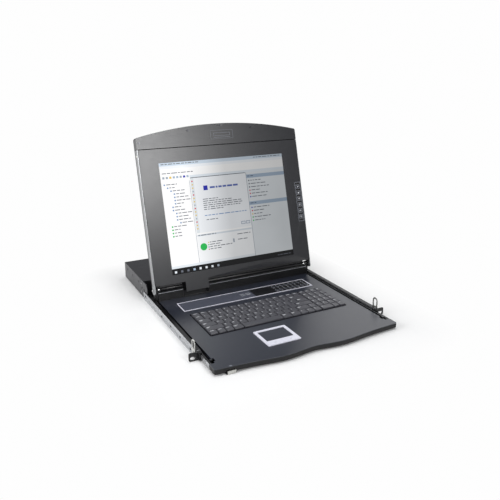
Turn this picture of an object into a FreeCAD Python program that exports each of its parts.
"""Rack console drawer: a 1U KVM switch behind a sliding tray with keyboard, touchpad and hinged screen.

Heights are drawn above the underside of the 1U space and lengths from the rear face of the rack ears.
The finished origin is midway between the two ear slots: +X right, +Y towards the switch, +Z up.
Screen pieces are drawn upright with the hinge axis as their X axis, and their Placement leans them back.
"""

import FreeCAD, Part
import os
import re

import Sketcher
from FreeCAD import Placement, Rotation, Vector

# alias, value in millimetres or degrees, meaning
DIMENSIONS = (
    ("ear_half", 241.3, "half the rack width"),
    ("ear_inner", 222.0, "inner edge of an ear's front plate"),
    ("ear_thick", 2.0, "front plate of an ear"),
    ("ear_top", 18.0, "top of an ear"),
    ("flange_thick", 1.5, "side flange of an ear"),
    ("flange_end", 24.0, "rear end of the side flange"),
    ("slot_spacing", 465.1, "between the two ear slots"),
    ("slot_height", 6.35, "slot centre above the 1U underside"),
    ("slot_half_width", 3.4, "half the width of a slot"),
    ("slot_length", 11.5, "end to end length of a slot"),
    ("rail_outer", 223.8, "outer face of a fixed rail"),
    ("rail_inner", 215.1, "inner edge of a fixed rail's flanges"),
    ("rail_gauge", 1.4, "sheet of a fixed rail"),
    ("rail_top", 19.8, "height of a fixed rail"),
    ("rail_flange_end", 324.0, "where the rail's flanges stop"),
    ("rail_end", 352.0, "where the rail's web stops"),
    ("middle_outer", 220.6, "outer face of a middle member"),
    ("middle_inner", 215.8, "inner edge of a middle member's flanges"),
    ("middle_gauge", 1.2, "sheet of the middle and inner members"),
    ("middle_low", 3.4, "underside of a middle member"),
    ("middle_high", 16.4, "top of a middle member"),
    ("middle_length", 326.0, "length of a middle member"),
    ("middle_front", -4.0, "front end of a middle member"),
    ("inner_front", -50.0, "front end of an inner member"),
    ("inner_length", 340.0, "length of an inner member"),
    ("block_reach", 4.0, "end block ahead of its middle member"),
    ("block_wrap", 12.0, "end block around its middle member"),
    ("ball_radius", 0.95, "slide balls"),
    ("cage_front", 110.0, "front end of a ball cage"),
    ("cage_length", 120.0, "length of a ball cage"),
    ("inner_outer", 218.6, "outer face of an inner member"),
    ("inner_low", 5.6, "underside of an inner member"),
    ("inner_high", 14.2, "top of an inner member"),
    ("bracket_inner", 221.0, "inner face of a side bracket"),
    ("bracket_outer", 222.3, "outer face of a side bracket"),
    ("bracket_front", 325.0, "front edge of a side bracket"),
    ("bracket_end", 378.0, "rear edge of a side bracket"),
    ("housing_half", 220.9, "half width of the switch base"),
    ("cover_half", 222.4, "half width of the switch cover"),
    ("housing_front", 358.0, "front wall of the switch"),
    ("housing_end", 523.0, "rear wall of the switch"),
    ("housing_top", 43.6, "height of the switch"),
    ("sheet_gauge", 1.2, "sheet steel of the housing and tray"),
    ("board_gauge", 1.6, "circuit boards"),
    ("board_level", 6.0, "underside of the switch's board"),
    ("port_height", 14.0, "centre height of the rear connectors"),
    ("inlet_height", 20.0, "centre height of the power inlet and rocker"),
    ("inlet_x", 165.0, "centre of the power inlet"),
    ("rocker_x", 130.0, "centre of the power rocker"),
    ("port_pitch", 32.0, "between computer connectors"),
    ("port_first", -190.0, "centre of the first computer connector"),
    ("lever_inner", 225.4, "inner face of a release lever"),
    ("lever_thick", 1.5, "plate of a release lever"),
    ("lever_pivot_y", 10.0, "release lever's pin"),
    ("lever_pivot_z", 11.0, "release lever's pin"),
    ("lever_low", 6.0, "lower end of a release lever"),
    ("lever_top", 41.0, "top of the finger loop"),
    ("lever_width", 17.0, "width of the finger loop"),
    ("pin_radius", 2.0, "release lever's pin"),
    ("pin_gap", 0.05, "running clearance of pins"),
    ("pan_half", 213.9, "half width of the tray pan"),
    ("pan_low", 2.0, "underside of the tray"),
    ("pan_high", 13.0, "top of the pan's walls"),
    ("pan_front", -51.9, "front of the pan"),
    ("deck_half", 206.9, "half width of the deck"),
    ("deck_top", 14.3, "top of the deck"),
    ("deck_front", -52.0, "where the deck widens into the handle"),
    ("deck_end", 283.8, "rear edge of the deck"),
    ("handle_half", 219.0, "half width of the handle"),
    ("handle_corner", 4.0, "corner radius of the handle"),
    ("handle_end_y", -77.0, "front edge at the handle's ends"),
    ("handle_hump_y", -90.0, "front edge at the two humps"),
    ("handle_middle_y", -83.0, "front edge between the humps"),
    ("handle_hump_x", 70.0, "humps from the centre"),
    ("well_left", -170.0, "keyboard well"),
    ("well_right", 179.0, "keyboard well"),
    ("well_front", 55.0, "keyboard well"),
    ("well_end", 180.0, "keyboard well"),
    ("well_floor", 11.0, "floor of the keyboard well"),
    ("key_low", 13.2, "underside of the keycaps"),
    ("key_high", 17.4, "top of the keycaps"),
    ("key_gap", 1.7, "between keycaps"),
    ("key_unit", 18.7, "width of one key position"),
    ("pad_unit", 16.0, "width of one number pad position"),
    ("row_pitch", 19.8, "between key rows"),
    ("row_first", 59.0, "front edge of the first key row"),
    ("function_pitch", 17.5, "depth of the function row"),
    ("touch_left", -84.8, "touchpad frame"),
    ("touch_right", -7.4, "touchpad frame"),
    ("touch_front", -43.5, "touchpad frame"),
    ("touch_end", 28.7, "touchpad frame"),
    ("touch_high", 16.0, "top of the touchpad frame"),
    ("touch_border", 6.7, "frame around the touch surface"),
    ("touch_button_front", -41.2, "front edge of the touchpad buttons"),
    ("touch_button_end", -27.6, "rear edge of the touchpad buttons"),
    ("touch_surface_front", -23.8, "front edge of the touch surface"),
    ("panel_half", 172.0, "half width of the control panel"),
    ("panel_front", 201.5, "control panel"),
    ("panel_end", 248.4, "control panel"),
    ("panel_thick", 0.8, "control panel"),
    ("trim_border", 2.1, "trim around the control panel"),
    ("trim_thick", 1.1, "trim around the control panel"),
    ("port_button_first", 78.0, "centre of the first port button"),
    ("port_button_pitch", 12.2, "between port buttons"),
    ("block_half", 207.0, "half width of the hinge block"),
    ("block_front", 284.0, "front wall of the hinge block"),
    ("block_end", 308.0, "rear wall of the hinge block"),
    ("block_lip", 35.0, "top of the hinge block's front lip"),
    ("block_seat", 33.5, "top of the hinge block under the barrels"),
    ("notch_left", -143.0, "notch for the cable tab"),
    ("notch_right", -76.0, "notch for the cable tab"),
    ("notch_floor", 16.5, "floor of the notch"),
    ("hinge_y", 293.6, "hinge axis"),
    ("hinge_z", 40.5, "hinge axis"),
    ("screen_datum_z", 38.9, "where the screen's own heights start"),
    ("axis_depth", -0.41, "hinge axis from the screen's datum, front to back"),
    ("axis_rise", 1.55, "hinge axis from the screen's datum, along the screen"),
    ("hinge_pin_radius", 1.5, "hinge pins"),
    ("barrel_radius", 5.6, "hinge barrels"),
    ("collar_width", 6.0, "bright collars between barrels and hinge ears"),
    ("collar_radius", 5.0, "bright collars between barrels and hinge ears"),
    ("ear_width", 7.9, "hinge ears above the rails"),
    ("ear_stem_width", 5.0, "hinge ears between the rails"),
    ("ear_radius", 6.0, "hinge ears"),
    ("arm_low", -8.0, "lower end of the screen's side arms"),
    ("screen_lean", 14.9, "lean of the open screen from upright, in degrees"),
    ("lcd_half", 217.0, "half width of the screen unit"),
    ("lcd_low", 11.8, "lower edge of the screen unit above the hinge"),
    ("lcd_seam", 336.3, "seam between bezel and cap"),
    ("seam_gap", 1.0, "open seam between bezel and cap"),
    ("bezel_half", 214.6, "half width of the bezel"),
    ("frame_lip", 1.0, "front lip of the side frame"),
    ("lcd_shoulder", 364.8, "end of the arched top edge"),
    ("lcd_crown", 389.8, "middle of the arched top edge"),
    ("lcd_front", 17.4, "front face ahead of the hinge axis"),
    ("lcd_rear", 4.1, "rear face behind the hinge axis"),
    ("lcd_wall", 2.0, "walls of the screen unit"),
    ("glass_half", 169.0, "half width of the visible screen"),
    ("glass_low", 31.8, "lower edge of the visible screen"),
    ("glass_high", 301.8, "upper edge of the visible screen"),
    ("tab_left", -139.0, "cable tab"),
    ("tab_right", -80.0, "cable tab"),
    ("tab_low", -12.2, "cable tab"),
    ("tab_thick", 3.0, "cable tab"),
    ("keypad_left", 196.0, "screen keypad"),
    ("keypad_right", 214.0, "screen keypad"),
    ("keypad_low", 116.8, "screen keypad"),
    ("keypad_high", 222.8, "screen keypad"),
    ("latch_left", -194.0, "front latch"),
    ("latch_right", -176.0, "front latch"),
    ("latch_pivot_y", -62.0, "front latch"),
    ("latch_front", -82.0, "front latch"),
    ("stud_y", -39.0, "stop studs beside the deck"),
    ("notch_depth", 4.4, "deck notches beside the stop studs"),
    ("cross_front", 297.0, "front edge of the cross plate"),
    ("screw_head", 2.4, "radius of the small screws' heads"),
    ("screw_shank", 1.2, "radius of the small screws' shanks"),
)

# Key widths in key units, front row first; a negative width is a gap. The number pad has its own unit.
MAIN_ROWS = (
    (1.0, 1.0, 1.0, 1.25, 5.25, 1.25, 1.25, 1.0, 1.0, 1.0),
    (2.25, 1, 1, 1, 1, 1, 1, 1, 1, 1, 1, 1.75, 1.0),
    (1.75, 1, 1, 1, 1, 1, 1, 1, 1, 1, 1, 1, 2.25),
    (1.5, 1, 1, 1, 1, 1, 1, 1, 1, 1, 1, 1, 1, 1.5),
    (1, 1, 1, 1, 1, 1, 1, 1, 1, 1, 1, 1, 1, 2),
    (1, 1, 1, 1, 1, 1, 1, 1, 1, 1, 1, 1, 1, 1, 1),
)
PAD_ROWS = (
    (2, 1, 1),
    (1, 1, 1, 1),
    (1, 1, 1, 1),
    (1, 1, 1, 1),
    (1, 1, 1, 1),
    (1, 1, 1, 1),
)

# Sketch plane: (role of the origin plane, sign of its normal along the world axis)
PLANES = {"XY": ("XY_Plane", 1), "XZ": ("XZ_Plane", -1), "YZ": ("YZ_Plane", 1)}

WORD = re.compile(r"[a-z]+(?:_[a-z]+)*")

doc = FreeCAD.newDocument("rack_console")
sheet = doc.addObject("Spreadsheet::Sheet", "Dims")
nodes = []


def fill_sheet():
    """Write every driving dimension into the sheet, with its alias and meaning."""
    for row, (alias, value, meaning) in enumerate(DIMENSIONS, start=1):
        sheet.set(f"A{row}", alias)
        sheet.set(f"B{row}", str(value))
        sheet.set(f"C{row}", meaning)
        sheet.setAlias(f"B{row}", alias)
    doc.recompute()


# ---- expressions ----

def bound(text):
    """Expression in which every word is a cell of the sheet."""
    return WORD.sub(lambda word: "Dims." + word.group(0), str(text))


def size(text):
    """Number that an expression stands for now."""
    return float(sheet.evalExpression(bound(text)))


def span(low_high):
    """Expression for the distance between two expressions."""
    low, high = low_high
    return bound(f"({high}) - ({low})")


def half(width):
    """Pair of expressions, symmetric about zero."""
    return (f"-({width})", width)


def around(centre, width):
    """Pair of expressions, symmetric about a centre."""
    return (f"({centre}) - ({width}) / 2", f"({centre}) + ({width}) / 2")


# ---- primitives and booleans ----

def place(thing, x, y, z):
    """Bind an object's position."""
    for letter, text in zip("xyz", (x, y, z)):
        thing.setExpression("Placement.Base." + letter, bound(text))


def box(name, x, y, z):
    """Block between a low and a high expression on each axis."""
    block = doc.addObject("Part::Box", name)
    block.setExpression("Length", span(x))
    block.setExpression("Width", span(y))
    block.setExpression("Height", span(z))
    place(block, x[0], y[0], z[0])
    return block


def rod(name, axis, start, length, radius):
    """Round bar from a start point along +X, +Y or +Z."""
    bar = doc.addObject("Part::Cylinder", name)
    turns = {
        "X": Rotation(Vector(0, 1, 0), 90),
        "Y": Rotation(Vector(1, 0, 0), -90),
        "Z": Rotation(),
    }
    bar.Placement = Placement(Vector(), turns[axis])
    bar.setExpression("Radius", bound(radius))
    bar.setExpression("Height", bound(length))
    place(bar, *start)
    return bar


def ball(name, centre, radius):
    """Sphere about a centre."""
    sphere = doc.addObject("Part::Sphere", name)
    sphere.setExpression("Radius", bound(radius))
    place(sphere, *centre)
    return sphere


def fuse(name, *shapes):
    """One solid out of touching or overlapping shapes."""
    union = doc.addObject("Part::MultiFuse", name)
    union.Shapes = list(shapes)
    return union


def group(name, *shapes):
    """Several separate solids of one kind."""
    compound = doc.addObject("Part::Compound", name)
    compound.Links = list(shapes)
    return compound


def cut(name, base, *tools):
    """Base with the tools taken away."""
    tool = tools[0] if len(tools) == 1 else group(name + "_tools", *tools)
    result = doc.addObject("Part::Cut", name)
    result.Base = base
    result.Tool = tool
    return result


def mirrored(name, source):
    """Left-hand copy of a right-hand shape."""
    copy = doc.addObject("Part::Mirroring", name)
    copy.Source = source
    copy.Normal = Vector(1, 0, 0)
    return copy


# ---- bodies with sketches ----

def sketch_on(body, name, plane, level):
    """Empty sketch parallel to an origin plane of its own body, at a level along the plane's axis."""
    role, sign = PLANES[plane]
    sketch = body.newObject("Sketcher::SketchObject", name)
    base = next(part for part in body.Origin.OriginFeatures if part.Role == role)
    sketch.AttachmentSupport = [(base, "")]
    sketch.MapMode = "FlatFace"
    sketch.setExpression("AttachmentOffset.Base.z", bound(f"{sign} * ({level})"))
    return sketch


def pin_point(sketch, geometry, end, x, y):
    """Hold one point of a sketch at two expressions."""
    for kind, text in (("DistanceX", x), ("DistanceY", y)):
        row = sketch.addConstraint(Sketcher.Constraint(kind, -1, 1, geometry, end, size(text)))
        sketch.setExpression(f"Constraints[{row}]", bound(text))


def arc_between(start, end, radius):
    """Arc from start to end that turns anticlockwise about its centre."""
    middle = (start + end) / 2
    chord = end - start
    inward = Vector(-chord.y, chord.x, 0).normalize()
    reach = (radius ** 2 - (chord.Length / 2) ** 2) ** 0.5
    centre = middle + inward * reach
    crown = centre - inward * radius
    return Part.Arc(start, crown, end)


def draw_outline(sketch, corners, arcs=None):
    """Closed anticlockwise outline. arcs maps a corner's number to the radius of the side it starts."""
    arcs = arcs or {}
    points = [Vector(size(x), size(y), 0) for x, y in corners]
    first = sketch.GeometryCount
    for number, start in enumerate(points):
        end = points[(number + 1) % len(points)]
        if number in arcs:
            sketch.addGeometry(arc_between(start, end, size(arcs[number])))
        else:
            sketch.addGeometry(Part.LineSegment(start, end))
    for number, (x, y) in enumerate(corners):
        this = first + number
        before = first + (number - 1) % len(points)
        sketch.addConstraint(Sketcher.Constraint("Coincident", before, 2, this, 1))
        pin_point(sketch, this, 1, x, y)
        if number in arcs:
            row = sketch.addConstraint(Sketcher.Constraint("Radius", this, size(arcs[number])))
            sketch.setExpression(f"Constraints[{row}]", bound(arcs[number]))


def draw_circle(sketch, x, y, radius):
    """Circle about a centre."""
    circle = Part.Circle(Vector(size(x), size(y), 0), Vector(0, 0, 1), size(radius))
    number = sketch.addGeometry(circle)
    pin_point(sketch, number, 3, x, y)
    row = sketch.addConstraint(Sketcher.Constraint("Radius", number, size(radius)))
    sketch.setExpression(f"Constraints[{row}]", bound(radius))


def rectangle(x, y):
    """Corners of a rectangle between two pairs of expressions."""
    return ((x[0], y[0]), (x[1], y[0]), (x[1], y[1]), (x[0], y[1]))


def pad(body, name, plane, reach, corners=(), arcs=None, circles=()):
    """Add material between two levels along the plane's axis."""
    level = reach[1] if plane == "XZ" else reach[0]
    sketch = sketch_on(body, name + "_sketch", plane, level)
    if corners:
        draw_outline(sketch, corners, arcs)
    for x, y, radius in circles:
        draw_circle(sketch, x, y, radius)
    feature = body.newObject("PartDesign::Pad", name)
    feature.Profile = sketch
    feature.setExpression("Length", span(reach))
    body.Tip = feature
    return feature


def pocket(body, name, plane, reach, outlines=(), arcs=None, circles=()):
    """Take material away between two levels along the plane's axis."""
    level = reach[0] if plane == "XZ" else reach[1]
    sketch = sketch_on(body, name + "_sketch", plane, level)
    for corners in outlines:
        draw_outline(sketch, corners, arcs)
    for x, y, radius in circles:
        draw_circle(sketch, x, y, radius)
    feature = body.newObject("PartDesign::Pocket", name)
    feature.Profile = sketch
    feature.setExpression("Length", span(reach))
    body.Tip = feature
    return feature


def round_edges(body, name, radius, wanted):
    """Fillet the edges of the body's last feature that the test picks."""
    doc.recompute()
    base = body.Tip
    edges = [f"Edge{number}" for number, edge in enumerate(base.Shape.Edges, start=1) if wanted(edge)]
    fillet = body.newObject("PartDesign::Fillet", name)
    fillet.Base = (base, edges)
    fillet.Radius = radius
    body.Tip = fillet
    return fillet


def upright(edge, axis):
    """True for a straight edge along an axis."""
    if edge.Curve.TypeId != "Part::GeomLine":
        return False
    return abs(edge.Curve.Direction.dot(axis)) > 0.999


# ---- finished sub-parts ----

def rack_node(thing, label):
    """Name a sub-part and bring it from the 1U underside to the slots' height."""
    thing.Label = label
    thing.setExpression("Placement.Base.z", bound("-slot_height"))
    nodes.append(thing)
    return thing


def screen_node(thing, label):
    """Name a sub-part of the screen and lean it back about the hinge axis."""
    thing.Label = label
    thing.Placement = Placement(Vector(), Rotation(Vector(1, 0, 0), -size("screen_lean")))
    thing.setExpression("Placement.Rotation.Angle", bound("-screen_lean"))
    place(thing, "0", "hinge_y", "screen_datum_z - slot_height")
    nodes.append(thing)
    return thing


def left_node(right, label):
    """Left-hand twin of a finished right-hand sub-part."""
    twin = mirrored(label, right)
    twin.Label = label
    nodes.append(twin)
    return twin


def screw(name, axis, seat, outward, head="screw_head", shank="screw_shank", length="2"):
    """Screw whose head stands outward of its seat and whose shank goes the other way."""
    x, y, z = seat
    letter = "XYZ".index(axis)
    head_start = [x, y, z]
    shank_start = [x, y, z]
    if outward > 0:
        shank_start[letter] = f"{seat[letter]} - ({length})"
    else:
        head_start[letter] = f"{seat[letter]} - 0.8"
    button = rod(name + "_head", axis, head_start, "0.8", head)
    stem = rod(name + "_shank", axis, shank_start, length, shank)
    return fuse(name, button, stem)


# ---- the switch ----

REAR_PORTS = [f"port_first + {number} * port_pitch" for number in range(8)]
CONSOLE_PORT = "88"
CASE_SCREW_YS = ("400", "450", "500")


def switch_base():
    """Open sheet steel box with board posts, a cable window in front and connector cut-outs behind."""
    body = doc.addObject("PartDesign::Body", "switch_base")
    y = ("housing_front", "housing_end")
    inner_y = ("housing_front + sheet_gauge", "housing_end - sheet_gauge")
    pad(body, "base_block", "XY", ("0", "housing_top - 1.3"), rectangle(half("housing_half"), y))
    inside = rectangle(half("housing_half - sheet_gauge"), inner_y)
    pocket(body, "base_inside", "XY", ("sheet_gauge", "housing_top - 1.3"), [inside])
    window = rectangle(half("60"), ("8", "30"))
    pocket(body, "cable_window", "XZ", (y[0], inner_y[0]), [window])
    openings = [rectangle(around(x, "17.4"), around("port_height", "9.4")) for x in REAR_PORTS]
    openings.append(rectangle(around(CONSOLE_PORT, "17.4"), around("port_height", "9.4")))
    openings.append(rectangle(around("inlet_x", "28"), around("inlet_height", "20")))
    openings.append(rectangle(around("rocker_x", "13.2"), around("inlet_height", "19.8")))
    pocket(body, "rear_openings", "XZ", (inner_y[1], y[1]), openings)
    posts = [(x, y, "3") for x in ("-195", "-55", "85") for y in ("380", "500")]
    pad(body, "board_posts", "XY", ("sheet_gauge", "board_level"), circles=posts)
    rack_node(body, "switch_base")


def switch_cover():
    """Cover that closes the base from above and wraps its sides behind the brackets."""
    top = ("housing_top - sheet_gauge", "housing_top")
    side_y = ("bracket_end + 1", "housing_end")
    lid = box("cover_lid", half("housing_half"), ("housing_front", "housing_end"), top)
    wide = box("cover_wide", half("cover_half"), side_y, top)
    right = box("cover_right", ("cover_half - 1.4", "cover_half"), side_y, ("2", "housing_top"))
    left = box("cover_left", ("-cover_half", "1.4 - cover_half"), side_y, ("2", "housing_top"))
    shell = fuse("cover_shell", lid, wide, right, left)
    holes = [
        rod("cover_hole", "X", ("-cover_half - 1", y, "30"), "2 * cover_half + 2", "screw_shank + 0.1")
        for y in CASE_SCREW_YS
    ]
    rack_node(cut("switch_cover", shell, *holes), "switch_cover")


def switch_board():
    """Main board with its chips and the two multiplexer cans."""
    level = "board_level + board_gauge"
    board = box("board_sheet", ("-205", "95"), ("372", "508"), ("board_level", level))
    parts = [board]
    for x in ("-150", "-90", "-30", "30"):
        parts.append(box("chip", around(x, "16"), around("440", "16"), (level, f"{level} + 2")))
        parts.append(box("choke", around(x, "9"), around("475", "9"), (level, f"{level} + 5")))
    rack_node(fuse("switch_board", *parts), "switch_board")


def power_supply():
    """Enclosed supply with ventilation slots along its top."""
    can = box("supply_can", ("108", "205"), ("380", "495"), ("sheet_gauge", "36"))
    slots = [
        box("supply_slot", ("118", "195"), around(f"400 + 15 * {number}", "4"), ("34", "36"))
        for number in range(6)
    ]
    rack_node(cut("power_supply", can, *slots), "power_supply")


def connector(name, x):
    """Board connector: body inside the wall, flange outside it and a thin metal shell around the pins."""
    z = "port_height"
    body = box(name + "_body", around(x, "17"), ("508.5", "housing_end"), around(z, "9"))
    flange = box(name + "_flange", around(x, "30"), ("housing_end", "housing_end + 1"), around(z, "12.5"))
    shell_y = ("housing_end + 1", "housing_end + 6")
    shell = box(name + "_shell", around(x, "17"), shell_y, around(z, "8.5"))
    mouth = box(name + "_mouth", around(x, "15.6"), ("housing_end + 2", "housing_end + 6"), around(z, "7.1"))
    solid = fuse(name + "_solid", body, flange, shell)
    return cut(name, solid, mouth)


def rear_ports():
    """Row of computer connectors and the local console connector."""
    ports = [connector(f"port_{number}", x) for number, x in enumerate(REAR_PORTS, start=1)]
    ports.append(connector("port_console", CONSOLE_PORT))
    rack_node(group("rear_ports", *ports), "rear_ports")


def power_inlet():
    """Mains inlet: recessed shell with three flat blades."""
    z = "inlet_height"
    body = box("inlet_body", around("inlet_x", "27.6"), ("500", "housing_end"), around(z, "19.6"))
    flange = box("inlet_flange", around("inlet_x", "31"), ("housing_end", "housing_end + 2.5"), around(z, "24"))
    mouth = box("inlet_mouth", around("inlet_x", "24"), ("506", "housing_end + 2.5"), around(z, "16.5"))
    shell = cut("inlet_shell", fuse("inlet_solid", body, flange), mouth)
    blades = [
        box("inlet_blade", around(f"inlet_x + {shift}", "2"), ("506", "housing_end - 2"), around(height, "4"))
        for shift, height in (("-7", "inlet_height - 1"), ("0", "inlet_height + 3"), ("7", "inlet_height - 1"))
    ]
    rack_node(group("power_inlet", shell, *blades), "power_inlet")


def power_rocker():
    """Rocker cap on its round pivot."""
    z = "inlet_height"
    cap = box("rocker_cap", around("rocker_x", "12"), ("519.5", "housing_end + 2"), around(z, "17"))
    pivot = rod("rocker_pivot", "X", ("rocker_x - 6.4", "522.4", z), "12.8", "1.8")
    rack_node(fuse("power_rocker", cap, pivot), "power_rocker")


def cover_screws():
    """Six screws through the cover's sides."""
    screws = []
    for number, y in enumerate(CASE_SCREW_YS, start=1):
        screws.append(screw(f"cover_screw_r{number}", "X", ("cover_half", y, "30"), 1, length="1.4"))
        screws.append(screw(f"cover_screw_l{number}", "X", ("-cover_half", y, "30"), -1, length="1.4"))
    rack_node(group("cover_screws", *screws), "cover_screws")


# ---- rails, ears and levers ----

RAIL_HOLES = (("35", "8"), ("95", "8"), ("154", "8"), ("213", "8"), ("336", "11.5"))


def outer_rail():
    """Fixed C-shaped rail whose bare web runs on past its flanges."""
    body = doc.addObject("PartDesign::Body", "outer_rail")
    web = "rail_outer - rail_gauge"
    section = (
        ("rail_inner", "0"),
        ("rail_outer", "0"),
        ("rail_outer", "rail_top"),
        ("rail_inner", "rail_top"),
        ("rail_inner", "rail_top - rail_gauge"),
        (web, "rail_top - rail_gauge"),
        (web, "rail_gauge"),
        ("rail_inner", "rail_gauge"),
    )
    pad(body, "rail_channel", "XZ", ("0", "rail_flange_end"), section)
    tail = rectangle((web, "rail_outer"), ("0", "rail_top"))
    pad(body, "rail_tail", "XZ", ("rail_flange_end - 1", "rail_end"), tail)
    holes = [(y, z, "2.2") for y, z in RAIL_HOLES]
    pocket(body, "rail_holes", "YZ", (web, "rail_outer"), circles=holes)
    return rack_node(body, "outer_rail_right")


def rack_ear():
    """Angle plate: slotted front plate and a side flange riveted to the rail."""
    body = doc.addObject("PartDesign::Body", "rack_ear")
    z = ("0.5", "ear_top")
    pad(body, "ear_plate", "XZ", ("-ear_thick", "0"), rectangle(("ear_inner", "ear_half"), z))
    flange_x = ("rail_outer", "rail_outer + flange_thick")
    pad(body, "ear_flange", "XZ", ("-ear_thick", "flange_end"), rectangle(flange_x, z))
    centre = "slot_spacing / 2"
    run = "slot_length - 2 * slot_half_width"
    outline = rectangle(around(centre, run), around("slot_height", "2 * slot_half_width"))
    pocket(body, "slot_middle", "XZ", ("-ear_thick", "0"), [outline])
    for side, shift in (("inner", "-1"), ("outer", "1")):
        end = (f"{centre} + {shift} * ({run}) / 2", "slot_height", "slot_half_width")
        pocket(body, f"slot_{side}_end", "XZ", ("-ear_thick", "0"), circles=[end])
    bores = [
        ("lever_pivot_y", "lever_pivot_z", "pin_radius + pin_gap"),
        ("21.5", "4", "screw_shank + 0.1"),
        ("21.5", "14.5", "screw_shank + 0.1"),
    ]
    pocket(body, "flange_bores", "YZ", flange_x, circles=bores)

    def outer_corner(edge):
        return upright(edge, Vector(0, 1, 0)) and edge.CenterOfMass.x > size("ear_half - 0.1")

    round_edges(body, "ear_corners", 3, outer_corner)
    return rack_node(body, "rack_ear_right")


def side_bracket():
    """Plate that joins the rail to the switch, with a bevelled top front corner."""
    body = doc.addObject("PartDesign::Body", "side_bracket")
    outline = (
        ("bracket_front", "1"),
        ("bracket_end", "1"),
        ("bracket_end", "housing_top"),
        ("bracket_front + 8", "housing_top"),
        ("bracket_front", "housing_top - 8"),
    )
    pad(body, "bracket_plate", "YZ", ("bracket_inner", "bracket_outer"), outline)
    holes = [("367.5", "24", "2.2"), ("350.6", "23", "2.2"), ("336", "11.5", "2.2")]
    holes += [("372", z, "screw_shank + 0.1") for z in ("12", "34")]
    pocket(body, "bracket_holes", "YZ", ("bracket_inner", "bracket_outer"), circles=holes)

    def bevel_edge(edge):
        at_bevel = edge.CenterOfMass.y < size("bracket_front + 9")
        return upright(edge, Vector(1, 0, 0)) and at_bevel and edge.CenterOfMass.z > size("housing_top - 9")

    round_edges(body, "bracket_bevel", 4, bevel_edge)
    return rack_node(body, "side_bracket_right")


def cross_plate():
    """Floor plate that joins the rails between the tray and the switch."""
    y = ("cross_front", "housing_front")
    plate = box("cross_sheet", half("rail_inner"), y, ("0", "sheet_gauge"))
    holes = [rod("cross_hole", "Z", (x, "330", "-1"), "4", "2.2") for x in ("-150", "0", "150")]
    rack_node(cut("cross_plate", plate, *holes), "cross_plate")


def rail_screws():
    """Rivets of the ears and screws of the side brackets, both sides."""
    screws = []
    for side, sign, outward in (("r", "", 1), ("l", "-", -1)):
        for number, z in enumerate(("4", "14.5"), start=1):
            seat = (f"{sign}(rail_outer + flange_thick)", "21.5", z)
            screws.append(screw(f"rivet_{side}{number}", "X", seat, outward, head="1.5", length="1.4"))
        for number, z in enumerate(("12", "34"), start=1):
            seat = (f"{sign}bracket_outer", "372", z)
            screws.append(screw(f"bracket_screw_{side}{number}", "X", seat, outward, length="1.2"))
    rack_node(group("rail_screws", *screws), "rail_screws")


def release_lever():
    """Plate lever with a round-topped finger loop above the rail and its pivot on the ear's flange."""
    body = doc.addObject("PartDesign::Body", "release_lever")
    reach = ("lever_inner", "lever_inner + lever_thick")
    y = around("lever_pivot_y", "lever_width")
    pad(body, "lever_plate", "YZ", reach, rectangle(y, ("lever_low", "lever_top")))
    loop = rectangle(around("lever_pivot_y", "lever_width - 7.4"), ("20", "lever_top - 3.7"))
    bore = ("lever_pivot_y", "lever_pivot_z", "pin_radius + pin_gap")
    pocket(body, "lever_openings", "YZ", reach, [loop], circles=[bore])

    def outer_corner(high):
        def wanted(edge):
            middle = edge.CenterOfMass
            outside = abs(middle.y - size("lever_pivot_y")) > size("lever_width / 2 - 0.1")
            return upright(edge, Vector(1, 0, 0)) and outside and (middle.z > 20) == high
        return wanted

    def loop_corner(edge):
        middle = edge.CenterOfMass
        inside = abs(middle.y - size("lever_pivot_y")) < size("lever_width / 2 - 1")
        return upright(edge, Vector(1, 0, 0)) and inside and middle.z > 19

    round_edges(body, "lever_crown", size("lever_width / 2 - 0.2"), outer_corner(True))
    round_edges(body, "lever_foot", 4, outer_corner(False))
    round_edges(body, "lever_loop", size("(lever_width - 7.4) / 2 - 0.2"), loop_corner)
    return rack_node(body, "release_lever_right")


def lever_pins():
    """Shouldered pins of the two levers."""
    pins = []
    for side, direction in (("right", 1), ("left", -1)):
        low = "rail_outer + 0.05"
        high = "lever_inner + lever_thick + 0.1"
        shank_x = low if direction > 0 else f"-({high})"
        head_x = high if direction > 0 else f"-({high}) - 1.2"
        shank = rod(f"lever_shank_{side}", "X", (shank_x, "lever_pivot_y", "lever_pivot_z"), f"{high} - ({low})",
                    "pin_radius")
        head = rod(f"lever_head_{side}", "X", (head_x, "lever_pivot_y", "lever_pivot_z"), "1.2", "3.4")
        pins.append(fuse(f"lever_pin_{side}", shank, head))
    rack_node(group("lever_pins", *pins), "lever_pins")


# ---- telescopic members ----

def slide_middle():
    """Middle member: C-section that runs between the fixed rail and the tray's member."""
    body = doc.addObject("PartDesign::Body", "slide_middle")
    web = "middle_outer - middle_gauge"
    section = (
        ("middle_inner", "middle_low"),
        ("middle_outer", "middle_low"),
        ("middle_outer", "middle_high"),
        ("middle_inner", "middle_high"),
        ("middle_inner", "middle_high - middle_gauge"),
        (web, "middle_high - middle_gauge"),
        (web, "middle_low + middle_gauge"),
        ("middle_inner", "middle_low + middle_gauge"),
    )
    pad(body, "middle_channel", "XZ", ("middle_front", "middle_front + middle_length"), section)
    slots = [
        rectangle(around(f"middle_front + {step}", "14"), around("9.9", "4"))
        for step in ("60", "170", "270")
    ]
    pocket(body, "middle_slots", "YZ", (web, "middle_outer"), slots)
    return rack_node(body, "slide_middle_right")


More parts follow.
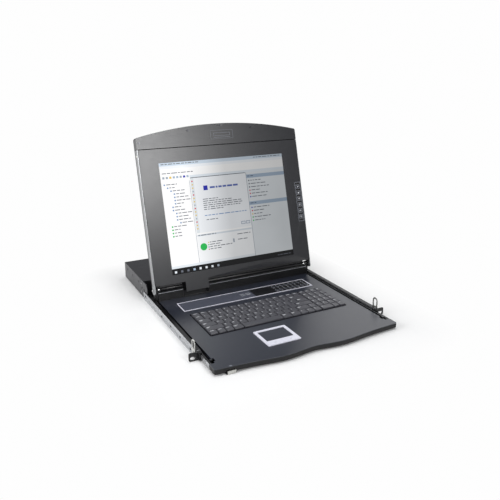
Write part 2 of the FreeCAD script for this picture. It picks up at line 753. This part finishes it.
def end_block():
    """Plastic stop around the front end of a middle member, open for the inner member."""
    front = "middle_front - block_reach"
    y = (front, "middle_front + block_wrap")
    solid = box("end_block_solid", ("middle_inner - 0.6", "middle_outer + 1.4"), y, ("1.9", "17.9"))
    seat_x = ("middle_inner - 0.7", "middle_outer + 0.05")
    seat_z = ("middle_low - 0.05", "middle_high + 0.05")
    seat = box("end_block_seat", seat_x, ("middle_front", "middle_front + block_wrap"), seat_z)
    way_z = ("inner_low - 0.5", "inner_high + 0.5")
    way = box("end_block_way", ("middle_inner - 0.7", "inner_outer + 0.4"), (front, "middle_front"), way_z)
    return cut("end_block_right", solid, seat, way)


def slide_end_blocks():
    """End blocks of both middle members."""
    right = end_block()
    rack_node(group("slide_end_blocks", right, mirrored("end_block_left", right)), "slide_end_blocks")


def ball_cages():
    """Four strips that carry the balls above and below the middle members."""
    cages = []
    for side, sign in (("r", "1"), ("l", "-1")):
        x = f"{sign} * 218.2"
        for level, z in (("low", "rail_gauge + 1"), ("high", "rail_top - rail_gauge - 1")):
            name = f"cage_{side}_{level}"
            y = ("cage_front", "cage_front + cage_length")
            parts = [box(name + "_strip", around(x, "3"), y, around(z, "0.5"))]
            for number in range(12):
                centre = (x, f"cage_front + 5 + 10 * {number}", z)
                parts.append(ball(f"{name}_ball_{number}", centre, "ball_radius"))
            cages.append(fuse(name, *parts))
    rack_node(group("ball_cages", *cages), "ball_cages")


def inner_rail():
    """Tray member: C-section screwed to the pan's side."""
    body = doc.addObject("PartDesign::Body", "inner_rail")
    web = "inner_outer - middle_gauge"
    section = (
        ("pan_half", "inner_low"),
        ("inner_outer", "inner_low"),
        ("inner_outer", "inner_high"),
        ("pan_half", "inner_high"),
        ("pan_half", "inner_high - middle_gauge"),
        (web, "inner_high - middle_gauge"),
        (web, "inner_low + middle_gauge"),
        ("pan_half", "inner_low + middle_gauge"),
    )
    pad(body, "inner_channel", "XZ", ("inner_front", "inner_front + inner_length"), section)
    holes = [(y, "9.9", "2") for y in ("-30", "60", "150", "240")]
    pocket(body, "inner_holes", "YZ", (web, "inner_outer"), circles=holes)
    return rack_node(body, "inner_rail_right")


# ---- the tray ----

def front_edge(body, name, plane_level, thickness, back, wide):
    """Pad whose front is the handle's wavy edge and whose back is a plain outline."""
    sketch = sketch_on(body, name + "_sketch", "XY", plane_level)
    corner = "handle_end_y + handle_corner"
    run = "handle_half - handle_corner"
    path = [("-handle_half", corner), ("-handle_half", "deck_front")]
    if wide:
        path += [("-deck_half", "deck_front"), ("-deck_half", back)]
        path += [("deck_half", back), ("deck_half", "deck_front")]
    path += [("handle_half", "deck_front"), ("handle_half", corner)]
    points = [Vector(size(x), size(y), 0) for x, y in path]
    for start, end in zip(points, points[1:]):
        sketch.addGeometry(Part.LineSegment(start, end))
    right = Vector(size(run), size("handle_end_y"), 0)
    left = Vector(-right.x, right.y, 0)
    radius = size("handle_corner")
    diagonal = radius * 0.5 ** 0.5
    centre = Vector(right.x, size(corner), 0)
    crown = centre + Vector(diagonal, -diagonal, 0)
    sketch.addGeometry(Part.Arc(points[-1], crown, right))
    sketch.addGeometry(wave(right, left))
    crown = Vector(-crown.x, crown.y, 0)
    sketch.addGeometry(Part.Arc(left, crown, points[0]))
    for number in range(1, len(path) - 1):
        sketch.addConstraint(Sketcher.Constraint("Coincident", number - 1, 2, number, 1))
    for number, (x, y) in enumerate(path[:-1]):
        pin_point(sketch, number, 1, x, y)
    feature = body.newObject("PartDesign::Pad", name)
    feature.Profile = sketch
    feature.setExpression("Length", bound(thickness))
    body.Tip = feature


def wave(right, left):
    """Smooth front edge: level at the ends, two humps and a shallow hollow between them."""
    hump = size("handle_hump_x")
    hump_y = size("handle_hump_y")
    middle_y = size("handle_middle_y")
    flat_y = right.y - 1.5
    shoulder_y = (right.y + hump_y) / 2
    curve = Part.BSplineCurve()
    half_points = (
        Vector(right.x * 0.82, flat_y - 0.6, 0),
        Vector(hump * 1.85, shoulder_y, 0),
        Vector(hump, hump_y, 0),
        Vector(hump * 0.45, (hump_y + middle_y) / 2, 0),
    )
    mirror = [Vector(-point.x, point.y, 0) for point in reversed(half_points)]
    curve.interpolate([right, *half_points, Vector(0, middle_y, 0), *mirror, left])
    return curve


def tray_pan():
    """Shallow pan under the keyboard deck."""
    body = doc.addObject("PartDesign::Body", "tray_pan")
    outer = rectangle(half("pan_half"), ("pan_front", "block_front"))
    pad(body, "pan_block", "XY", ("pan_low", "pan_high"), outer)
    inner = rectangle(half("pan_half - sheet_gauge"), ("pan_front + sheet_gauge", "block_front - sheet_gauge"))
    pocket(body, "pan_inside", "XY", ("pan_low + sheet_gauge", "pan_high"), [inner])
    rack_node(body, "tray_pan")


def deck_plate():
    """Deck sheet with the handle's outline, three openings and two folded sides."""
    body = doc.addObject("PartDesign::Body", "deck_plate")
    low = "deck_top - sheet_gauge"
    front_edge(body, "deck_sheet", low, "sheet_gauge", "deck_end", True)
    keyboard = rectangle(("well_left", "well_right"), ("well_front", "well_end"))
    touch_x = ("touch_left + 1.5", "touch_right - 1.5")
    touchpad = rectangle(touch_x, ("touch_front + 1.5", "touch_end - 1.5"))
    panel = rectangle(half("panel_half - 4"), ("panel_front + 4", "panel_end - 4"))
    pocket(body, "deck_openings", "XY", (low, "deck_top"), [keyboard, touchpad, panel])

    def opening_corner(edge):
        middle = edge.CenterOfMass
        inside = abs(middle.x) < size("deck_half - 5") and middle.y > size("touch_front - 2")
        return upright(edge, Vector(0, 0, 1)) and inside

    round_edges(body, "opening_corners", 2.5, opening_corner)
    fold_y = ("stud_y + 6", "deck_end - 2.4")
    for side, x in (("right", ("deck_half - 1.2", "deck_half")), ("left", ("-deck_half", "1.2 - deck_half"))):
        pad(body, f"deck_fold_{side}", "XY", ("pan_low + sheet_gauge", f"{low} + 0.2"), rectangle(x, fold_y))
    notch_y = around("stud_y", "12")
    notches = [
        rectangle(("deck_half - notch_depth", "deck_half + 1"), notch_y),
        rectangle(("-deck_half - 1", "notch_depth - deck_half"), notch_y),
    ]
    pocket(body, "stud_notches", "XY", (low, "deck_top"), notches)
    rack_node(body, "deck_plate")


def front_handle():
    """Moulded handle under the deck's front edge."""
    body = doc.addObject("PartDesign::Body", "front_handle")
    front_edge(body, "handle_block", "pan_low", "deck_top - sheet_gauge - pan_low", "deck_front", False)

    def lower_front(edge):
        low = edge.BoundBox.ZMax < size("pan_low + 0.01")
        return low and edge.CenterOfMass.y < size("deck_front - 8")

    round_edges(body, "handle_lip", 3, lower_front)
    rack_node(body, "front_handle")


def tray_screws():
    """Stop studs, the heads that hold the inner members and those that hold the hinge ears."""
    screws = []
    wall = "pan_half - sheet_gauge"
    for side, sign, start in (("r", "", f"{wall} - 1"), ("l", "-", f"-({wall})")):
        stud = rod(f"stud_{side}", "Z", (f"{sign}210", "stud_y", "pan_low + sheet_gauge"), "11.4", "2.4")
        cap = rod(f"stud_cap_{side}", "Z", (f"{sign}210", "stud_y", "14.6"), "1.4", "2.9")
        screws.append(fuse(f"stop_stud_{side}", stud, cap))
        for number, y in enumerate(("-20", "100", "220"), start=1):
            screws.append(rod(f"member_screw_{side}{number}", "X", (start, y, "9"), "1", "screw_head"))
        front = (f"{sign}209.8", "hinge_y - ear_radius - 1.4", "29.5")
        screws.append(rod(f"ear_front_screw_{side}", "Y", front, "1.4", "screw_head"))
    rack_node(group("tray_screws", *screws), "tray_screws")


# ---- keyboard ----

def keyboard_base():
    """Key bed: a plate with the keys' shallow well, held under the deck."""
    body = doc.addObject("PartDesign::Body", "keyboard_base")
    outer = rectangle(("well_left - 8", "well_right + 8"), ("well_front - 8", "well_end + 8"))
    pad(body, "bed_block", "XY", ("well_floor - 2.4", "deck_top - sheet_gauge"), outer)
    inner = rectangle(("well_left + 0.5", "well_right - 0.5"), ("well_front + 0.5", "well_end - 0.5"))
    pocket(body, "bed_well", "XY", ("well_floor", "deck_top - sheet_gauge"), [inner])
    rack_node(body, "keyboard_base")


def key_row(number):
    """One row of keycaps, main block and number pad, as separate solids."""
    front = f"row_first + {number} * row_pitch"
    depth = "function_pitch" if number == len(MAIN_ROWS) - 1 else "row_pitch"
    y = (front, f"{front} + {depth} - key_gap")
    z = ("key_low", "key_high")
    caps = []
    blocks = (
        (MAIN_ROWS[number], "well_left + 3", "key_unit"),
        (PAD_ROWS[number], "well_left + 4.5 + 15 * key_unit", "pad_unit"),
    )
    for widths, left, unit in blocks:
        done = 0
        for width in widths:
            low = f"{left} + {done} * {unit}"
            caps.append(box("keycap", (low, f"{low} + {width} * {unit} - key_gap"), y, z))
            done += width
    rack_node(group(f"key_row_{number}", *caps), f"keycaps_row_{number + 1}")


# ---- touchpad ----

BUTTON_X = (("touch_left + 2.6", "(touch_left + touch_right) / 2 - 1"),
            ("(touch_left + touch_right) / 2 + 1", "touch_right - 2.6"))


def touchpad_frame():
    """Raised frame with a skirt through the deck and openings for the surface and the buttons."""
    body = doc.addObject("PartDesign::Body", "touchpad_frame")
    outline = rectangle(("touch_left", "touch_right"), ("touch_front", "touch_end"))
    pad(body, "frame_flange", "XY", ("deck_top", "touch_high"), outline)
    skirt = rectangle(("touch_left + 1.8", "touch_right - 1.8"), ("touch_front + 1.8", "touch_end - 1.8"))
    pad(body, "frame_skirt", "XY", ("10", "deck_top + 0.2"), skirt)

    def skirt_corner(edge):
        return upright(edge, Vector(0, 0, 1)) and edge.CenterOfMass.z < size("deck_top")

    round_edges(body, "skirt_corners", 3, skirt_corner)
    surface_x = ("touch_left + touch_border", "touch_right - touch_border")
    surface = rectangle(surface_x, ("touch_surface_front", "touch_end - touch_border"))
    buttons = [rectangle(x, ("touch_button_front", "touch_button_end")) for x in BUTTON_X]
    pocket(body, "frame_openings", "XY", ("10", "touch_high"), [surface, *buttons])

    def outer_corner(edge):
        middle = edge.CenterOfMass
        off_x = min(abs(middle.x - size("touch_left")), abs(middle.x - size("touch_right")))
        off_y = min(abs(middle.y - size("touch_front")), abs(middle.y - size("touch_end")))
        return upright(edge, Vector(0, 0, 1)) and off_x < 0.1 and off_y < 0.1

    round_edges(body, "frame_corners", 3, outer_corner)
    rack_node(body, "touchpad_frame")


def touchpad_surface():
    """Touch sensor plate, just below the frame's top."""
    x = ("touch_left + touch_border + 0.2", "touch_right - touch_border - 0.2")
    y = ("touch_surface_front + 0.2", "touch_end - touch_border - 0.2")
    rack_node(group("touchpad_surface", box("touch_plate", x, y, ("13.4", "14.9"))), "touchpad_surface")


def touchpad_button(side, x):
    """One of the two click buttons in the frame's front strip."""
    x = (f"{x[0]} + 0.25", f"{x[1]} - 0.25")
    y = ("touch_button_front + 0.25", "touch_button_end - 0.25")
    plate = box(f"click_{side}", x, y, ("10.6", "touch_high + 0.2"))
    rack_node(group(f"touchpad_button_{side}", plate), f"touchpad_button_{side}")


# ---- control panel ----

PORT_BUTTON_YS = ("214", "235")
PORT_BUTTON_XS = [f"port_button_first + {number} * port_button_pitch" for number in range(8)]


def control_panel():
    """Panel plate with a window for every port button."""
    body = doc.addObject("PartDesign::Body", "control_panel")
    top = "deck_top + panel_thick"
    outline = rectangle(half("panel_half"), ("panel_front", "panel_end"))
    pad(body, "panel_sheet", "XY", ("deck_top", top), outline)
    windows = [
        rectangle(around(x, "9"), around(y, "7"))
        for x in PORT_BUTTON_XS
        for y in PORT_BUTTON_YS
    ]
    pocket(body, "panel_windows", "XY", ("deck_top", top), windows)
    rack_node(body, "control_panel")


def control_panel_trim():
    """Bright rim around the control panel."""
    body = doc.addObject("PartDesign::Body", "control_panel_trim")
    top = "deck_top + trim_thick"
    outer_y = ("panel_front - trim_border", "panel_end + trim_border")
    pad(body, "trim_block", "XY", ("deck_top", top), rectangle(half("panel_half + trim_border"), outer_y))
    inner = rectangle(half("panel_half + 0.05"), ("panel_front - 0.05", "panel_end + 0.05"))
    pocket(body, "trim_inside", "XY", ("deck_top", top), [inner])
    rack_node(body, "control_panel_trim")


def port_buttons():
    """Two rows of port selection buttons."""
    buttons = [
        box("port_button", around(x, "8.6"), around(y, "6.6"), ("12.2", "deck_top + 1.2"))
        for x in PORT_BUTTON_XS
        for y in PORT_BUTTON_YS
    ]
    rack_node(group("port_buttons", *buttons), "port_buttons")


def tray_boards():
    """Boards under the control panel and the touchpad."""
    control = box("control_board", ("-160", "168"), ("205", "245"), ("8", "8 + board_gauge"))
    touch_x = ("touch_left + 3", "touch_right - 3")
    touch = box("touch_board", touch_x, ("touch_front + 3", "touch_end - 3"), ("8", "9.4"))
    rack_node(group("tray_boards", control, touch), "tray_boards")


# ---- front latch ----

LATCH_PIVOT_Z = "1.2"


def front_latch():
    """Bright finger plate on an arm that turns on a round pivot under the handle."""
    x = ("latch_left", "latch_right")
    plate = box("latch_plate", x, ("latch_front", "latch_front + 1.6"), ("0.3", "7"))
    arm = box("latch_arm", x, ("latch_front", "latch_pivot_y"), ("0.4", "1.6"))
    width = "latch_right - latch_left"
    barrel = rod("latch_barrel", "X", (x[0], "latch_pivot_y", LATCH_PIVOT_Z), width, "0.75")
    rack_node(fuse("front_latch", plate, arm, barrel), "front_latch")


def latch_bracket():
    """Two dark lugs that carry the latch under the handle."""
    lugs = []
    for side, x in (("left", "latch_left - 2"), ("right", "latch_right + 0.4")):
        y = ("latch_front + 0.4", "latch_pivot_y + 2")
        lugs.append(box(f"latch_lug_{side}", (x, f"{x} + 1.6"), y, ("0.2", "pan_low")))
    rack_node(group("latch_bracket", *lugs), "latch_bracket")


# ---- hinge ----

def hinge_block():
    """Raised sheet block behind the deck with a front lip and a notch where the cable tab swings."""
    body = doc.addObject("PartDesign::Body", "hinge_block")
    section = (
        ("block_front", "pan_low"),
        ("block_end", "pan_low"),
        ("block_end", "block_seat"),
        ("block_front + 5", "block_seat"),
        ("block_front + 4", "block_lip"),
        ("block_front", "block_lip"),
    )
    pad(body, "block_section", "YZ", half("block_half"), section)
    notch = rectangle(("block_front", "block_end"), ("notch_floor", "block_lip"))
    pocket(body, "block_notch", "YZ", ("notch_left", "notch_right"), [notch])
    wall = "1.5"
    inner_y = (f"block_front + {wall}", f"block_end - {wall}")
    tall = [
        rectangle((f"-block_half + {wall}", f"notch_left - {wall}"), inner_y),
        rectangle((f"notch_right + {wall}", f"block_half - {wall}"), inner_y),
    ]
    # drawn at the ceiling of each hollow and cut down through the open underside
    pocket(body, "block_hollows", "XY", ("pan_low", f"block_seat - {wall}"), tall)
    low = rectangle((f"notch_left - {wall} - 0.1", f"notch_right + {wall} + 0.1"), inner_y)
    pocket(body, "notch_hollow", "XY", ("pan_low", f"notch_floor - {wall}"), [low])
    rack_node(body, "hinge_block")


def hinge_ears():
    """Two rounded lugs that hold the hinge pins at the ends of the block."""
    ears = []
    y = around("hinge_y", "2 * ear_radius")
    for side, x, stem_x in (
        ("right", "block_half", "block_half"),
        ("left", "-block_half - ear_width", "-block_half - ear_stem_width"),
    ):
        post = box(f"ear_post_{side}", (stem_x, f"{stem_x} + ear_stem_width"), y, ("pan_low", "hinge_z"))
        cheek = box(f"ear_cheek_{side}", (x, f"{x} + ear_width"), y, ("rail_top + 2", "hinge_z"))
        stem = fuse(f"ear_stem_{side}", post, cheek)
        head = rod(f"ear_head_{side}", "X", (x, "hinge_y", "hinge_z"), "ear_width", "ear_radius")
        bore = rod(f"ear_bore_{side}", "X", (f"{x} - 1", "hinge_y", "hinge_z"), "ear_width + 2",
                   "hinge_pin_radius + pin_gap")
        ears.append(cut(f"hinge_ear_{side}", fuse(f"ear_solid_{side}", stem, head), bore))
    rack_node(group("hinge_ears", *ears), "hinge_ears")


def hinge_pins():
    """Headed pins through the screen's arms and the ears into the barrels, each with a bright collar."""
    pins = []
    outer = "lcd_half + 0.05"
    inner = "192"
    collar = "block_half - 0.05 - collar_width"
    sides = (
        ("right", inner, collar, outer),
        ("left", f"-({outer})", f"-({collar}) - collar_width", f"-({outer}) - 1.5"),
    )
    for side, shank_x, collar_x, head_x in sides:
        axis_yz = ("hinge_y", "hinge_z")
        shank = rod(f"hinge_shank_{side}", "X", (shank_x, *axis_yz), f"{outer} - {inner}", "hinge_pin_radius")
        ring = rod(f"hinge_collar_{side}", "X", (collar_x, *axis_yz), "collar_width", "collar_radius")
        head = rod(f"hinge_head_{side}", "X", (head_x, *axis_yz), "1.5", "3.0")
        pins.append(fuse(f"hinge_pin_{side}", shank, ring, head))
    rack_node(group("hinge_pins", *pins), "hinge_pins")


def hinge_barrels():
    """Two barrels with their webs up to the screen unit."""
    barrels = []
    end = "block_half - collar_width - 0.4"
    for side, x in (("right", ("notch_right - 2", end)), ("left", (f"-({end})", "notch_left - 2"))):
        axis = ("axis_depth", "axis_rise")
        tube = rod(f"barrel_tube_{side}", "X", (x[0], *axis), f"({x[1]}) - ({x[0]})", "barrel_radius")
        web = box(f"barrel_web_{side}", x, ("-3.4", "1.6"), ("0", "lcd_low"))
        bore_x = "191.5" if side == "right" else f"-({end}) - 1"
        bore = rod(f"barrel_bore_{side}", "X", (bore_x, *axis), f"{end} - 190.5", "hinge_pin_radius + pin_gap")
        barrels.append(cut(f"hinge_barrel_{side}", fuse(f"barrel_solid_{side}", tube, web), bore))
    screen_node(group("hinge_barrels", *barrels), "hinge_barrels")


# ---- screen unit ----

CAP_SCREWS = (("-210.5", "352.3"), ("-85.5", "375.8"), ("0", "383.8"), ("85.5", "375.8"), ("210.5", "352.3"))
ARCH_RADIUS = "(lcd_half ^ 2 + (lcd_crown - lcd_shoulder) ^ 2) / (2 * (lcd_crown - lcd_shoulder))"
KEYPAD_X = "(keypad_left + keypad_right) / 2"
KEYPAD_ZS = [f"keypad_low + 13 + 16 * {number}" for number in range(6)]


def arch_outline(low, inset="0"):
    """Corners of the arched outline from a lower edge up; the third side is the arch."""
    side = f"lcd_half - {inset}"
    corners = (
        (f"-({side})", low),
        (side, low),
        (side, f"lcd_shoulder - {inset}"),
        (f"-({side})", f"lcd_shoulder - {inset}"),
    )
    return corners, {2: ARCH_RADIUS}


def round_shoulders(body, name, radius):
    """Round the two ends of the arch."""
    def shoulder(edge):
        outside = abs(edge.CenterOfMass.x) > size("lcd_half - 0.1")
        return upright(edge, Vector(0, 1, 0)) and outside and edge.CenterOfMass.z > size("lcd_shoulder - 0.1")

    round_edges(body, name, radius, shoulder)


def lcd_bezel():
    """Front plate with the screen opening, the keypad window and the cable tab."""
    body = doc.addObject("PartDesign::Body", "lcd_bezel")
    reach = ("-lcd_front", "lcd_wall - lcd_front")
    pad(body, "bezel_plate", "XZ", reach, rectangle(half("bezel_half"), ("lcd_low", "lcd_seam")))
    tab = rectangle(("tab_left", "tab_right"), ("tab_low", "lcd_low"))
    pad(body, "bezel_tab", "XZ", ("-lcd_front", "tab_thick - lcd_front"), tab)
    screen = rectangle(half("glass_half"), ("glass_low", "glass_high"))
    keypad = rectangle(("keypad_left + 3", "keypad_right - 3"), ("keypad_low + 5", "keypad_high - 5"))
    pocket(body, "bezel_windows", "XZ", reach, [screen, keypad])

    def lower_corner(edge):
        outside = abs(edge.CenterOfMass.x) > size("bezel_half - 0.1")
        return upright(edge, Vector(0, 1, 0)) and outside and edge.CenterOfMass.z < size("lcd_low + 0.1")

    round_edges(body, "bezel_corners", 3, lower_corner)
    screen_node(body, "lcd_bezel")


def lcd_cap():
    """Hollow arched cap above the bezel."""
    body = doc.addObject("PartDesign::Body", "lcd_cap")
    low = "lcd_seam + seam_gap"
    corners, arcs = arch_outline(low)
    pad(body, "cap_block", "XZ", ("-lcd_front", "-lcd_wall"), corners, arcs)
    round_shoulders(body, "cap_shoulders", 5)
    corners, arcs = arch_outline(f"{low} + lcd_wall", "lcd_wall")
    pocket(body, "cap_inside", "XZ", ("lcd_wall - lcd_front", "-lcd_wall"), [corners], arcs)
    holes = [(x, z, "screw_shank + 0.1") for x, z in CAP_SCREWS]
    pocket(body, "cap_holes", "XZ", ("-lcd_front", "lcd_wall - lcd_front"), circles=holes)
    screen_node(body, "lcd_cap")


def lcd_back_shell():
    """Rear shell over the full height of the screen unit."""
    body = doc.addObject("PartDesign::Body", "lcd_back_shell")
    corners, arcs = arch_outline("lcd_low")
    pad(body, "shell_block", "XZ", ("-lcd_wall", "lcd_rear"), corners, arcs)
    round_shoulders(body, "shell_shoulders", 5)
    corners, arcs = arch_outline("lcd_low + lcd_wall", "lcd_wall")
    pocket(body, "shell_inside", "XZ", ("-lcd_wall", "lcd_rear - 1.6"), [corners], arcs)
    screen_node(body, "lcd_back_shell")


def lcd_frame():
    """Bright side frame between the bezel and the rear shell, with arms down to the hinge pins."""
    body = doc.addObject("PartDesign::Body", "lcd_frame")
    reach = ("lcd_wall - lcd_front", "-lcd_wall")
    pad(body, "frame_block", "XZ", reach, rectangle(half("lcd_half"), ("lcd_low", "lcd_seam")))
    inner = rectangle(half("lcd_half - lcd_wall"), ("lcd_low + lcd_wall", "lcd_seam - lcd_wall"))
    pocket(body, "frame_inside", "XZ", reach, [inner])
    lip_reach = ("-lcd_front", "lcd_wall - lcd_front")
    for side, x in (("right", ("lcd_half - frame_lip", "lcd_half")), ("left", ("-lcd_half", "frame_lip - lcd_half"))):
        pad(body, f"frame_lip_{side}", "XZ", lip_reach, rectangle(x, ("lcd_low", "lcd_seam")))
    outline = (
        ("0.6 - lcd_front", "arm_low"),
        ("lcd_rear - 0.2", "arm_low"),
        ("lcd_rear - 0.2", "lcd_low - 0.2"),
        ("-lcd_wall", "lcd_low - 0.2"),
        ("-lcd_wall", "lcd_low + 1"),
        ("0.6 - lcd_front", "lcd_low + 1"),
    )
    bore = ("axis_depth", "axis_rise", "hinge_pin_radius + pin_gap")

    def arm_corner(edge):
        return upright(edge, Vector(1, 0, 0)) and edge.CenterOfMass.z < size("arm_low + 0.01")

    for side, x in (("right", ("lcd_half - lcd_wall", "lcd_half")), ("left", ("-lcd_half", "lcd_wall - lcd_half"))):
        pad(body, f"arm_{side}", "YZ", x, outline)
        pocket(body, f"arm_bore_{side}", "YZ", x, circles=[bore])
        round_edges(body, f"arm_round_{side}", 5, lambda edge, sign=1 if side == "right" else -1:
                    arm_corner(edge) and edge.CenterOfMass.x * sign > 0)
    screen_node(body, "lcd_frame")


def lcd_panel():
    """Display module behind the bezel's opening."""
    y = ("lcd_wall - lcd_front + 0.2", "-6")
    module = box("panel_module", half("glass_half + 7"), y, ("glass_low - 5", "glass_high + 5"))
    screen_node(group("lcd_panel", module), "lcd_panel")


def lcd_controller():
    """Board that drives the display, with its processor and connectors."""
    board = box("driver_board", half("60"), ("-5", "-3.4"), ("120", "200"))
    chip = box("driver_chip", around("0", "20"), ("-3.4", "-1.6"), around("160", "20"))
    plug = box("driver_plug", around("-40", "14"), ("-3.4", "1"), around("130", "8"))
    screen_node(fuse("lcd_controller_board", board, chip, plug), "lcd_controller_board")


def osd_keypad():
    """Membrane strip on the bezel with a window for each button."""
    body = doc.addObject("PartDesign::Body", "osd_keypad")
    reach = ("-lcd_front - 0.5", "-lcd_front")
    outline = rectangle(("keypad_left", "keypad_right"), ("keypad_low", "keypad_high"))
    pad(body, "keypad_sheet", "XZ", reach, outline)
    pocket(body, "keypad_windows", "XZ", reach, circles=[(KEYPAD_X, z, "2.9") for z in KEYPAD_ZS])
    screen_node(body, "osd_keypad")


def osd_buttons():
    """Six small screen adjustment buttons."""
    buttons = [
        rod(f"osd_button_{number}", "Y", (KEYPAD_X, "-lcd_front - 0.9", z), "4.2", "2.6")
        for number, z in enumerate(KEYPAD_ZS, start=1)
    ]
    screen_node(group("osd_buttons", *buttons), "osd_buttons")


def cap_screws():
    """Screws along the cap."""
    screws = [
        screw(f"cap_screw_{number}", "Y", (x, "-lcd_front", z), -1)
        for number, (x, z) in enumerate(CAP_SCREWS, start=1)
    ]
    screen_node(group("cap_screws", *screws), "cap_screws")


def lcd_bumpers():
    """Small pale bumpers on the side edges near the top."""
    right = rod("bumper_right", "X", ("lcd_half", "-11", "322"), "1.8", "2.5")
    left = rod("bumper_left", "X", ("-lcd_half - 1.8", "-11", "322"), "1.8", "2.5")
    screen_node(group("lcd_bumpers", right, left), "lcd_bumpers")


# ---- whole object ----

def build():
    """Make every sub-part."""
    fill_sheet()
    switch_base()
    switch_cover()
    switch_board()
    power_supply()
    rear_ports()
    power_inlet()
    power_rocker()
    cover_screws()
    left_node(outer_rail(), "outer_rail_left")
    left_node(rack_ear(), "rack_ear_left")
    left_node(side_bracket(), "side_bracket_left")
    cross_plate()
    rail_screws()
    left_node(release_lever(), "release_lever_left")
    lever_pins()
    left_node(slide_middle(), "slide_middle_left")
    slide_end_blocks()
    ball_cages()
    left_node(inner_rail(), "inner_rail_left")
    tray_pan()
    deck_plate()
    front_handle()
    tray_screws()
    keyboard_base()
    for number in range(len(MAIN_ROWS)):
        key_row(number)
    touchpad_frame()
    touchpad_surface()
    touchpad_button("left", BUTTON_X[0])
    touchpad_button("right", BUTTON_X[1])
    control_panel()
    control_panel_trim()
    port_buttons()
    tray_boards()
    front_latch()
    latch_bracket()
    hinge_block()
    hinge_ears()
    hinge_pins()
    hinge_barrels()
    lcd_bezel()
    lcd_cap()
    lcd_back_shell()
    lcd_frame()
    lcd_panel()
    lcd_controller()
    osd_keypad()
    osd_buttons()
    cap_screws()
    lcd_bumpers()
    doc.recompute()


def check():
    """Stop if a feature failed, a pocket cut nothing or a sub-part isn't made of valid solids."""
    for thing in doc.Objects:
        if "Invalid" in thing.State or "Error" in thing.State:
            raise RuntimeError(f"{thing.Label} failed: {thing.State}")
        if thing.TypeId == "PartDesign::Pocket":
            before = thing.BaseFeature.Shape.Volume
            if thing.Shape.Volume > before - 0.01:
                raise RuntimeError(f"{thing.Label} cuts nothing")
    for node in nodes:
        shape = node.Shape
        if shape.isNull() or not shape.isValid() or not shape.Solids:
            raise RuntimeError(f"{node.Label} has no valid shape")


def export():
    """Write each sub-part to its own file."""
    os.makedirs("parts", exist_ok=True)
    for node in nodes:
        node.Shape.exportStep(f"parts/{node.Label}.step")


build()
check()
export()
